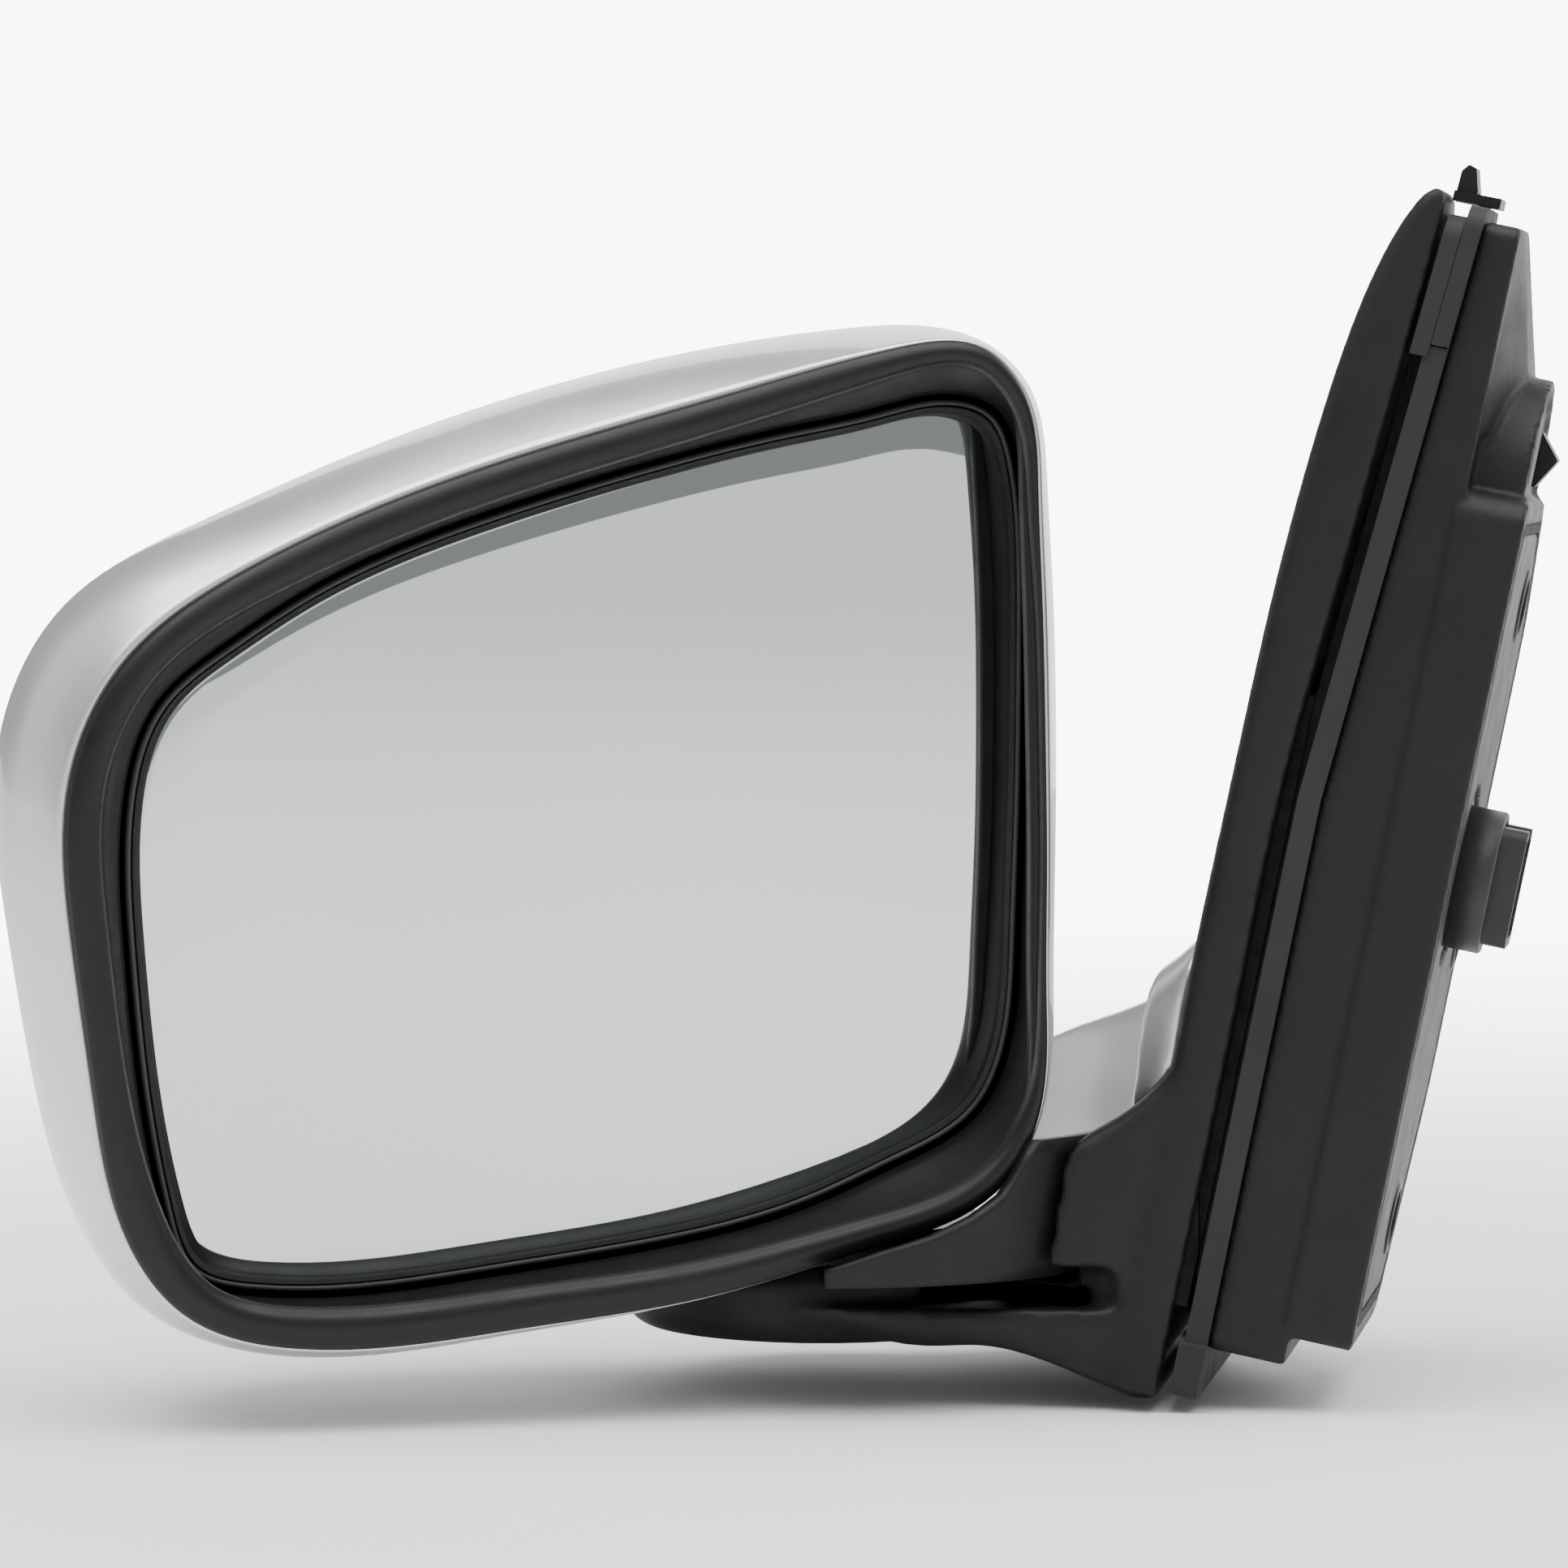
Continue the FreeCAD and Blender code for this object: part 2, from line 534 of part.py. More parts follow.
def pad_ring(inset):
    """Groove and foam ring round the pad's face, base frame."""
    outer = side_plate(grow_polygon(PAD_SIDE, -4.0 - inset), 6.0, -1.6, 0.0)
    return outer.cut(side_plate(grow_polygon(PAD_SIDE, -7.0 + inset), 5.0, -3, 1)).cut(
        front_plate([(-9, 95), (1, 95), (1, 79)], 0.2, -40, 60))


def make_seal():
    """Rubber seal between the outer cover and the stepped moulding, base frame."""
    plate = layer(SEAL_BACK, BLOCK_BACK, door_outline(2.0), 5.0)
    foot = side_plate([(-36, -102), (-36, -90), (60, -90), (44, -102)], 2.0, SEAL_BACK - 1.0,
                      BLOCK_BACK)
    ring = plate.fuse(foot).cut(side_plate(door_outline(-5.0), 6.0, SEAL_BACK - 5, 0))
    return ring.common(box(-60, 0, -80, 80, -120, 112))


def make_upper_seal():
    plate = layer(SEAL_BACK + 1.0, BLOCK_BACK, door_outline(2.6), 5.0)
    ring = plate.cut(side_plate(door_outline(-3.5), 4.0, SEAL_BACK - 5, 0))
    return ring.common(box(-60, 0, -80, 80, 112.3, 145))


def make_hook():
    """Clip that catches the door frame above the sail, base frame."""
    foot = box(-27.5, -18.0, -26, -12, 141.0, 143.0)
    blade_up = front_plate([(-26.4, 141.5), (-23.6, 141.5), (-23.0, 143.5), (-24.2, 148),
                            (-25.8, 148.5), (-27.0, 147), (-27.2, 143)], 0.4, -24, -14)
    return foot.fuse(blade_up)


def make_tab():
    tab = front_plate([(PAD_BACK + 6, 89.5), (-1, 88.5), (2.6, 94.6), (-1.5, 99.5),
                       (PAD_BACK + 6, 99.5)], 0.5, -12, -3)
    return tab.cut(base_rod(22.05, PAD_BACK - 2, -1.6, (-6, 88)))


def make_connector():
    """Harness plug housing with an open socket, base frame."""
    y, z = PLUG_AT
    flange = base_rod(15.5, -2.6, -0.6, PLUG_AT)
    body = side_plate(rectangle(y - 9, y + 9, z - 12, z + 12), 2.5, -1, 12.0)
    stem = base_rod(8.6, -9, -2, PLUG_AT)
    socket = side_plate(rectangle(y - 7, y + 7, z - 10, z + 10), 1.2, 3.0, 13)
    key = side_plate(rectangle(y - 3, y + 3, z + 8, z + 13), 0.6, 6.0, 13)
    lead_way = base_rod(5.2, -10, -3, PLUG_AT)
    return flange.fuse([body, stem]).cut([socket, key, lead_way, connector_pins()])


def connector_pins():
    y, z = PLUG_AT
    return group([box(-1, 10, y + dy - 0.5, y + dy + 0.5, z + dz - 0.5, z + dz + 0.5)
                       for dy in (-3.5, 3.5) for dz in (-6, -2, 2, 6)])


def make_grommet():
    return base_rod(RECESS_R - 0.1, -3.1, -1.0, PLUG_AT).cut(
        [base_rod(15.6, -5, 1, PLUG_AT), base_rod(9, -9, 1, PLUG_AT)])


def make_nuts():
    return group([base_rod(NUT_R - 0.01, PAD_BACK - 1.5, PAD_FACE - 0.3, at).cut(
        base_rod(NUT_BORE, PAD_BACK - 3, 1, at)) for at in NUTS])


def make_base_screws():
    screws = []
    for at in SCREWS:
        seat = SEAL_BACK + rise_at(at[1] + 3.4)
        thread = base_rod(1.55, seat - 3.0, seat + 1, at)
        screws.append(base_rod(3.4, seat, seat + 2.1, at).fuse(thread))
    return group(screws)


# ---------------------------------------------------------------- pivot, row frame
HUB_BASE, HUB_TOP = -63.0, -56.0
HUB_R = 22.0
TOWER_R = 14.4          # clear space round the spring
SPRING_TOP = -28.0
TEETH = 6


def detent_ring(z0, z1):
    return pivot_tube(DETENT_R, SHAFT_R + 4, z0, z1)


def make_lower_detent():
    """Ring with broad teeth on its upper face, for the fold's click stops."""
    z0, z1 = POD_TOP + 0.1, -67.6
    teeth = []
    for i in range(TEETH):
        tooth = box(SHAFT_R + 5, DETENT_R - 1, -3.0, 3.0, z1 - 0.5, z1 + 1.2)
        tooth.Placement = Placement(AXIS, Rotation(Z, i * 360.0 / TEETH))
        teeth.append(tooth)
    return detent_ring(z0, z1).fuse(teeth)


def make_upper_detent():
    """Ring with matching slots in its lower face."""
    z0 = -66.1
    slots = []
    for i in range(TEETH):
        slot = box(SHAFT_R + 4.5, DETENT_R + 1, -3.4, 3.4, z0 - 1, z0 + 0.9)
        slot.Placement = Placement(AXIS, Rotation(Z, i * 360.0 / TEETH))
        slots.append(slot)
    return detent_ring(z0, HUB_BASE - 1.2).cut(slots)


def make_shaft():
    flange = pivot_tube(11.0, SHAFT_BORE, POD_BOTTOM + 8.2, POD_BOTTOM + 10.2)
    return pivot_tube(SHAFT_R, SHAFT_BORE, POD_BOTTOM + 8.2, SPRING_TOP + 5).fuse(flange)


def make_spring():
    """Coil spring as a stack of turns joined by a slanting wire."""
    turns, wire = 6, 1.1
    pitch = (SPRING_TOP - (HUB_TOP + 2.0) - 2 * wire) / turns
    radius = 9.6
    coil = Part.makeHelix(pitch, pitch * turns, radius)
    coil = Part.Wire(coil.Edges)
    ring = Part.Wire([Part.Circle(Vector(radius, 0, 0), Y, wire).toShape()])
    solid = coil.makePipeShell([ring], True, True)
    solid.Placement = Placement(AXIS + Vector(0, 0, HUB_TOP + 2.0 + wire), Rotation())
    return solid


# ---------------------------------------------------------------- head: frame and drive
DRIVE = 44.0            # half width of the drive housing
DRIVE_FRONT, DRIVE_BACK = 8.0, 30.0
FRAME_FROM = 31.0       # head frame plate, glass frame y


def drive_outline(inset):
    half = DRIVE - inset
    return rectangle(-half, half, -half, half)


def make_frame():
    """Structural frame: plate behind the drive, cheeks round the spring, hub on the pivot."""
    plate = front_plate(rectangle(-50, 50, -50, 50), 14, FRAME_FROM, FRAME_FROM + 3)
    holes = [rod(4.5, (x, FRAME_FROM - 1, z), (x, FRAME_FROM + 4, z)) for x, z in JACKS]
    plate = plate.cut([front_plate(rectangle(-18, 18, -18, 18), 6, FRAME_FROM - 1, FRAME_FROM + 4)]
                      + holes)
    plate.Placement = GLASS
    hub = pivot_tube(HUB_R, SHAFT_R + 0.06, HUB_BASE, HUB_TOP)
    cheeks = [box(-18.5, -TOWER_R, -4, 17, HUB_BASE + 1, -22),
              box(TOWER_R, 18.5, -4, 17, HUB_BASE + 1, -22),
              box(-18.5, 18.5, TOWER_R, 17, HUB_BASE + 6, -22),
              box(-60, -15, 2, 17, -46, -22)]
    for cheek in cheeks:
        cheek.Placement = Placement(AXIS, Rotation(Z, HEAD_YAW))
    brace = join(cheeks).cut(behind_drive())
    inner = head_volume(WALL + GAP)
    inner.Placement = HEAD
    frame = plate.fuse(brace).common(inner).fuse(hub)
    return frame.cut(pivot_rod(TOWER_R, HUB_TOP, 40))


def behind_drive():
    """Space in front of the frame plate, where the drive and glass live, row frame."""
    space = box(-120, 120, -60, FRAME_FROM, -120, 120)
    space.Placement = GLASS
    return space


def make_neck():
    """Black ring that closes the gap between head and pod."""
    top = HUB_BASE - 0.2
    return lathe([(25.4, POD_TOP + 0.5), (NECK_R, POD_TOP + 0.5), (NECK_R, top), (12, top),
                  (12, top - 0.8), (25.4, top - 0.8)], AXIS)


def make_drive_base():
    """Cup that holds the motors, with the pivot ears, glass frame."""
    cup = front_plate(drive_outline(0), 20, DRIVE_FRONT, DRIVE_BACK - 2.4)
    cup = cup.cut(front_plate(drive_outline(WALL), 18, DRIVE_FRONT + 2.4, DRIVE_BACK))
    ears = [box(x - 1, x + 1, -2.6, DRIVE_FRONT + 1, -3.2, 3.2) for x in (-9, 9)]
    sleeves = [tube(5.0, 3.4, (x, DRIVE_FRONT, z), (x, DRIVE_FRONT + 5, z)) for x, z in JACKS]
    holes = [rod(1.56, (-12, 0, 0), (12, 0, 0))]
    holes += [rod(3.4, (x, 0, z), (x, DRIVE_FRONT + 3, z)) for x, z in JACKS]
    return cup.fuse(ears + sleeves).cut(holes)


JACKS = [(0.0, -JACK_ARM), (JACK_ARM, 0.0)]


def make_drive_cover():
    cover = front_plate(drive_outline(0), 20, DRIVE_BACK - 2.2, DRIVE_BACK)
    holes = [rod(3.2, (x, 20, z), (x, 40, z)) for x, z in JACKS]
    return cover.cut(holes + [rod(1.7, (x, 20, z), (x, 40, z)) for x, z in DRIVE_SCREWS])


DRIVE_SCREWS = [(-34, -34), (34, -34), (-34, 34), (34, 34)]


def make_drive_screws():
    return group([rod(3.0, (x, DRIVE_BACK - 4.6, z), (x, DRIVE_BACK - 2.5, z)).fuse(
        rod(1.5, (x, DRIVE_BACK - 3, z), (x, FRAME_FROM - 0.2, z))) for x, z in DRIVE_SCREWS])


def make_gimbal():
    body = box(-5.6, 5.6, -2.6, 2.6, -5.6, 5.6)
    return body.fuse([rod(1.5, (-10.2, 0, 0), (10.2, 0, 0)), rod(1.5, (0, 0, -10.2), (0, 0, 10.2))])


GLASS_THICK = 2.0
PAD_THICK = 0.6
PLATE_THICK = 2.4
GLASS_FACE = -PIVOT_DEPTH


def glass_loft(y0, y1, inset0, inset1=None):
    inset1 = inset0 if inset1 is None else inset1
    return loft([(y0, grow(GLASS_EDGE, -inset0)), (y1, grow(GLASS_EDGE, -inset1))])


def make_glass():
    return glass_loft(GLASS_FACE, GLASS_FACE + GLASS_THICK, 2.0)


def make_pad_sheet():
    back = GLASS_FACE + GLASS_THICK
    return glass_loft(back, back + PAD_THICK, 6.0)


def make_holder():
    """Backing plate with a low rim round the glass, pivot ears and the jack sockets."""
    back = GLASS_FACE + GLASS_THICK + PAD_THICK
    plate = glass_loft(GLASS_FACE + 0.2, back + PLATE_THICK, 1.1, 3.4)
    seat = glass_loft(GLASS_FACE - 1, back - PAD_THICK, 2.0)
    step = glass_loft(back - PAD_THICK - 0.1, back, 6.0)
    ears = [box(-3.2, 3.2, back, 2.6, z - 1, z + 1) for z in (-9, 9)]
    cups = [rod(6.2, (x, back, z), (x, 1.4, z)) for x, z in JACKS]
    holder = plate.cut([seat, step]).fuse(ears + cups)
    cuts = [rod(1.56, (0, 0, -12), (0, 0, 12))]
    for x, z in JACKS:
        cuts += [Part.makeSphere(3.5, Vector(x, 0, z)), rod(3.4, (x, 0, z), (x, 5, z))]
    return holder.cut(cuts)


def make_jack(at):
    """Ball-ended screw plunger."""
    x, z = at
    ball = Part.makeSphere(2.9, Vector(x, 0, z))
    stem = rod(2.0, (x, 0, z), (x, 28.6, z))
    threads = [rod(2.5, (x, y, z), (x, y + 1.1, z)) for y in range(7, 27, 2)]
    return ball.fuse([stem] + threads)


GEAR_R, GEAR_Y = 8.6, 17.0
WORM_OFFSET = 12.0


def make_gear(at):
    """Nut gear round a plunger."""
    x, z = at
    gear = rod(GEAR_R - 0.8, (x, GEAR_Y - 3, z), (x, GEAR_Y + 3, z))
    teeth = []
    for i in range(GEAR_TEETH):
        tooth = box(GEAR_R - 1.2, GEAR_R, -2.8, 2.8, -0.5, 0.5)
        tooth.Placement = Placement(Vector(x, GEAR_Y, z), Rotation(Y, i * 360.0 / GEAR_TEETH))
        teeth.append(tooth)
    return gear.fuse(teeth).cut(rod(2.58, (x, 0, z), (x, 40, z)))


def worm_line(at):
    """Axis of the worm beside a plunger: a point and a direction, glass frame."""
    x, z = at
    if x == 0:
        return Vector(0, GEAR_Y, z + WORM_OFFSET), Vector(-1, 0, 0)
    return Vector(x - WORM_OFFSET, GEAR_Y, 0), Vector(0, 0, 1)


def make_worm(at):
    centre, along = worm_line(at)
    core = Part.makeCylinder(2.0, 15, centre - along * 7.5, along)
    shaft = Part.makeCylinder(0.9, 7, centre + along * 7, along)
    threads = [Part.makeCylinder(3.1, 1.0, centre + along * (-6.5 + 2.2 * i), along) for i in range(6)]
    return core.fuse(threads + [shaft])


def make_motor(at):
    centre, along = worm_line(at)
    start = centre + along * 9.0
    body = Part.makeCylinder(6.6, 22, start, along)
    boss = Part.makeCylinder(2.6, 1.2, start - along * 1.2, along)
    return body.fuse(boss).cut(Part.makeCylinder(1.0, 12, start - along * 2, along))


def build():
    """Make every sub-part in its place."""
    add("housing_shell", make_housing(), HEAD)
    add("bezel", make_bezel(), HEAD)
    add("base_cover", make_cover())
    add("arm_fairing", make_fairing())
    add("base_bracket", make_bracket())
    add("door_base", make_door_base(), BASE)
    add("door_seal", make_seal(), BASE)
    add("upper_seal", make_upper_seal(), BASE)
    add("pad_seal", pad_ring(0.05), BASE)
    add("locating_hook", make_hook(), BASE)
    add("locating_tab", make_tab(), BASE)
    add("connector_body", make_connector(), BASE)
    add("connector_pins", connector_pins(), BASE)
    add("harness_grommet", make_grommet(), BASE)
    add("door_nuts", make_nuts(), BASE)
    add("base_screws", make_base_screws(), BASE)
    add("pivot_shaft", make_shaft())
    add("lower_detent", make_lower_detent())
    add("upper_detent", make_upper_detent())
    add("pivot_washer", pivot_tube(12.5, SHAFT_R + 0.06, HUB_TOP + 0.3, HUB_TOP + 2.0))
    add("pivot_spring", make_spring())
    add("spring_retainer", pivot_tube(14.0, SHAFT_R, SPRING_TOP, SPRING_TOP + 2.4))
    add("pod_plug", pivot_rod(PLUG_R, POD_BOTTOM - 0.6, POD_BOTTOM + 3.0))
    add("head_frame", make_frame())
    add("neck_skirt", make_neck())
    add("base_harness", make_base_harness())
    add("head_harness", make_head_harness(), GLASS)
    add("actuator_plug", make_drive_plug(), GLASS)
    add("actuator_base", make_drive_base(), GLASS)
    add("actuator_cover", make_drive_cover(), GLASS)
    add("actuator_screws", make_drive_screws(), GLASS)
    add("gimbal_cross", make_gimbal(), GLASS)
    add("glass_holder", make_holder(), GLASS)
    add("adhesive_pad", make_pad_sheet(), GLASS)
    add("mirror_glass", make_glass(), GLASS)
    for name, at in zip(("tilt", "pan"), JACKS):
        add(name + "_jack", make_jack(at), GLASS)
        add(name + "_gear", make_gear(at), GLASS)
        add(name + "_worm", make_worm(at), GLASS)
        add(name + "_motor", make_motor(at), GLASS)


def main():
    build()
    os.makedirs("parts", exist_ok=True)
    for name, shape in parts.items():
        state = "" if shape.isValid() and shape.Volume > 0 else "  NOT VALID"
        print("%-16s %9.0f mm3, %d solids%s" % (name, shape.Volume, len(shape.Solids), state))
        shape.exportStep("parts/%s.step" % name)


if __name__ == "__main__":
    main()
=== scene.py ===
"""Looks of the door mirror: smooth painted head, moulded black base, mirror glass and studio."""

import json
import math

import bmesh
import bpy
import numpy as np
from mathutils import Matrix, Vector


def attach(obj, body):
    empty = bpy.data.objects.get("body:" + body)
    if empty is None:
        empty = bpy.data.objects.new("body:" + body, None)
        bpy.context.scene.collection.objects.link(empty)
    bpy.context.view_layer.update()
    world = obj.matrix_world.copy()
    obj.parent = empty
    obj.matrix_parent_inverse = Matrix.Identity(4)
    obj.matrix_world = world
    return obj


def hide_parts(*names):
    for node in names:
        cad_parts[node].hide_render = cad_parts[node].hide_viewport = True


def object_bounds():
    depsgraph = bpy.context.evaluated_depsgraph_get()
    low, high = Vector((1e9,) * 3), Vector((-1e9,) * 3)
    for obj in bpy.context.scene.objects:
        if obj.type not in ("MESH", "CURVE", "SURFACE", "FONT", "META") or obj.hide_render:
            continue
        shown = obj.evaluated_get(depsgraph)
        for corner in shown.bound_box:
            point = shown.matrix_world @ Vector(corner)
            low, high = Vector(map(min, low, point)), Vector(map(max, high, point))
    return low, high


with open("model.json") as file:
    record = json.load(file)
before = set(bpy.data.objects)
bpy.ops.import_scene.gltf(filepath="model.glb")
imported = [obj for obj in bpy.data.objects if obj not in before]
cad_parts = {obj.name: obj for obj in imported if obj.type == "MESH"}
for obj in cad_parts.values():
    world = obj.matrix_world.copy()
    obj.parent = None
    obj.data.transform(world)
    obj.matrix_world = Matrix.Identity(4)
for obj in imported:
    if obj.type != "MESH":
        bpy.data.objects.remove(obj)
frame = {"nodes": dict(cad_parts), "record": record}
cad_box = [list(corner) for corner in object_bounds()]
NODES = frame["nodes"]
MM = 0.001

# ---------------------------------------------------------------- places and outlines, in mm
def placed_frame(at, yaw, pitch):
    """Frame at a point in mm, turned about its upright and then about its own x axis."""
    return (Matrix.Translation(Vector(at)) @ Matrix.Rotation(math.radians(yaw), 4, "Z")
            @ Matrix.Rotation(math.radians(pitch), 4, "X"))


# The head's frame: x along the rim, y into the housing, z up. The base's frame leans
# with the door, and its x axis points into the door.
HEAD = placed_frame((-167.4, -79.5, 19.5), 23.0, 3.0)
GLASS = HEAD @ placed_frame((6.0, 15.0, -5.0), 2.5, 2.0)
BASE = Matrix.Rotation(math.radians(11.5), 4, "Y")
AXIS = Vector((-129.0, 0.0, 0.0))  # upright fold axis

STEPS = 9                      # mesh columns between two outline points
PARTING = 1.8                  # depth of the parting line behind the rim
SIDE_DEPTH = 24.0              # the shell widens down to here, and then closes to its nose
NOSE_DEPTH = 69.3              # from the widest outline to the nose
NOSE = (8.0, -50.0)
SHELL_WALL = 2.4
NECK_HOLE = (33.4, -90.0, -50.0)   # radius, from z, to z of the shell's pivot opening
POD_HOLE = (43.0, -100.0, -68.6)   # and of the room over the pod
FLANGE_DEPTH, FLANGE_THICK = 40.0, 1.2
LIP_DEPTH = 2.4
MIRROR_RADIUS = 1400.0         # convex glass
MIRROR_RISE = 4.5              # its middle stands this far in front of the flat glass plane

# Outlines seen from the front, head frame: outer edge of the bezel, its inner lip, the
# widest part of the shell, and the bezel's inner opening.
RIM = [(98.3, -8), (97.6, 18), (96.6, 44), (95.4, 68), (92.4, 86), (84, 95), (66, 94.9),
       (33, 85.8), (-15, 71.6), (-61.6, 51.8), (-84, 34.9), (-95, 12), (-94.6, -20), (-90.5, -50),
       (-83.5, -79), (-73, -92.5), (-51, -99.7), (-6, -97), (30, -92), (66, -82.5), (89, -72.5),
       (97.4, -58), (98.7, -34)]
LIP = [(97, -8), (96.3, 18), (95.1, 44), (93.4, 66), (90.6, 82), (83, 90.4), (64.5, 88.7),
       (32.5, 78.7), (-13, 64.8), (-57.5, 46.2), (-78.6, 31.2), (-88, 11), (-87.6, -18),
       (-84, -46), (-77.5, -71), (-67.5, -86.8), (-49, -91.8), (-6, -88.9), (28, -84.9),
       (63, -77), (85, -68.5), (94.7, -55.5), (97, -34)]
WIDE = [(105.3, -8), (105.2, 18), (104.2, 44), (102.4, 68), (98.2, 87), (87, 96.5), (67, 98),
        (32, 92.8), (-18, 79), (-67, 58.5), (-92, 43), (-105.3, 15), (-104, -18), (-99, -48),
        (-91, -77), (-79, -94.5), (-56, -104.2), (-8, -102), (28, -96), (64, -86.5), (91, -76),
        (103, -59), (105.3, -34)]
THROAT = [(101.3, -9), (100.8, 16), (99.4, 42), (97.2, 64), (93.4, 80), (85, 87.6), (66, 87.4),
          (33, 80), (-13, 67), (-57, 47.5), (-78, 31.5), (-86.3, 9), (-86, -18), (-83.2, -46),
          (-79, -72), (-72, -90), (-53, -96.6), (-6, -95.6), (29, -91.4), (65, -82.5),
          (88.5, -71), (99, -56), (101.2, -34)]
# Edge of the mirror, glass frame.
MIRROR = [(90, -18), (90.2, 5), (90, 39), (89.4, 62), (87.4, 77), (83.4, 85.4), (76.5, 88),
          (60, 85.6), (41, 81.8), (14, 75.4), (-22, 64.6), (-53, 51.4), (-70, 40.4), (-82, 30),
          (-88, 12), (-87.6, -17.5), (-85, -42), (-79.6, -70), (-74.5, -81), (-64, -84.4),
          (-17, -82.2), (16, -77.8), (49.5, -70), (66.5, -62.8), (83, -53), (89, -38)]

PLUG_AT = (0.0, 8.5)           # y, z of the connector, base frame
STUDS = [(14, 64), (12, -64), (36, -6)]
GASKET_SHIFT = Vector((-3.8, 0, -2.5))  # from the upper seal to its foot, base frame

# Skirt under the head's door end: angles round the fold axis in degrees, its top height at
# each, and its outer radius at some heights, inside the room that the base leaves free.
FOOT_ANGLES = (-80, -70, -60, -52, -46, -43, -40, 4, 34)
FOOT_TOPS = (-67, -63.5, -60.5, -57, -53, -49, -42.5, -42, -62)
FOOT_SIDE = [(61.8, -70.4), (62.9, -60), (64.7, -47), (66.5, -38)]
FOOT_LOW, FOOT_PLATE, FOOT_HOLE, FOOT_WALL = -70.4, 2.2, 42.5, 3.0

TARGET = Vector((-0.133, -0.0235, 0.027))  # point in metres that camera and lights aim at
BACKDROP = 9.0                 # brightness of the white surroundings behind the object


# ---------------------------------------------------------------- mesh helpers
def smooth_outline(points):
    """Closed cubic spline through the points, STEPS samples to each stretch."""
    p = np.array(points, float)
    n = len(p)
    h = np.linalg.norm(np.roll(p, -1, 0) - p, axis=1)
    slope = (np.roll(p, -1, 0) - p) / h[:, None]
    system = np.zeros((n, n))
    for i in range(n):
        system[i, i - 1] = h[i - 1]
        system[i, i] = 2 * (h[i - 1] + h[i])
        system[i, (i + 1) % n] = h[i]
    second = np.linalg.solve(system, 6 * (slope - np.roll(slope, 1, 0)))
    after = np.roll(second, -1, 0)
    rows = []
    for i in range(n):
        for k in range(STEPS):
            t = h[i] * k / STEPS
            rows.append(p[i] + (slope[i] - h[i] * (2 * second[i] + after[i]) / 6) * t
                        + second[i] * t * t / 2 + (after[i] - second[i]) * t ** 3 / (6 * h[i]))
    return np.array(rows)


def grow(ring, distance):
    """Move a dense closed outline outward."""
    along = np.roll(ring, -1, 0) - np.roll(ring, 1, 0)
    along /= np.linalg.norm(along, axis=1)[:, None]
    return ring + np.stack([along[:, 1], -along[:, 0]], 1) * distance


def between(first, second, share):
    return first + (second - first) * share


def at_depth(ring, y):
    """Flat outline as a 3-D ring at a depth into the head."""
    return np.stack([ring[:, 0], np.full(len(ring), float(y)), ring[:, 1]], 1)


def mesh_object(name, verts, faces, matrix):
    """New object from mm coordinates in a working frame."""
    mesh = bpy.data.meshes.new(name)
    placed = [(matrix @ Vector(v)) * MM for v in verts]
    mesh.from_pydata(placed, [], faces)
    mesh.update()
    bm = bmesh.new()
    bm.from_mesh(mesh)
    bmesh.ops.remove_doubles(bm, verts=bm.verts, dist=1e-7)
    bmesh.ops.recalc_face_normals(bm, faces=bm.faces)
    bm.to_mesh(mesh)
    bm.free()
    obj = bpy.data.objects.new(name, mesh)
    bpy.context.scene.collection.objects.link(obj)
    for polygon in mesh.polygons:
        polygon.use_smooth = True
    return obj


def skin(name, rings, matrix, loop=False, cap_last=False):
    """Surface through rings of points; a loop closes the last ring on the first."""
    count = len(rings[0])
    verts = [tuple(v) for ring in rings for v in ring]
    faces = []
    for r in range(len(rings) if loop else len(rings) - 1):
        a, b = r * count, ((r + 1) % len(rings)) * count
        for i in range(count):
            j = (i + 1) % count
            faces.append((a + i, a + j, b + j, b + i))
    if cap_last:
        verts.append(tuple(np.mean(rings[-1], 0)))
        a = (len(rings) - 1) * count
        faces += [(a + i, a + (i + 1) % count, len(verts) - 1) for i in range(count)]
    return mesh_object(name, verts, faces, matrix)


def close_holes(obj):
    bm = bmesh.new()
    bm.from_mesh(obj.data)
    bmesh.ops.holes_fill(bm, edges=[e for e in bm.edges if e.is_boundary], sides=0)
    bmesh.ops.recalc_face_normals(bm, faces=bm.faces)
    bm.to_mesh(obj.data)
    bm.free()
    return obj


def tube(name, at, radii, x0, x1, segments=64):
    """Ring round a line through (y, z), from x0 to x1, base frame."""
    rings = []
    for x, radius in ((x0, radii[0]), (x1 - 0.4, radii[0]), (x1, radii[0] - 0.4),
                      (x1, radii[1]), (x0, radii[1])):
        turns = np.linspace(0, 2 * math.pi, segments, endpoint=False)
        rings.append([(x, at[0] + radius * math.cos(a), at[1] + radius * math.sin(a))
                      for a in turns])
    return skin(name, rings, BASE, loop=True)


def apply_modifiers(obj):
    """Make what the modifiers show the object's own mesh."""
    graph = bpy.context.evaluated_depsgraph_get()
    mesh = bpy.data.meshes.new_from_object(obj.evaluated_get(graph))
    obj.modifiers.clear()
    old, obj.data = obj.data, mesh
    bpy.data.meshes.remove(old)
    return obj


def carve(obj, cutter):
    """Subtract a cutter, which is then removed."""
    cut = obj.modifiers.new("cut", "BOOLEAN")
    cut.operation, cut.solver, cut.object = "DIFFERENCE", "EXACT", cutter
    apply_modifiers(obj)
    bpy.data.objects.remove(cutter)
    return obj


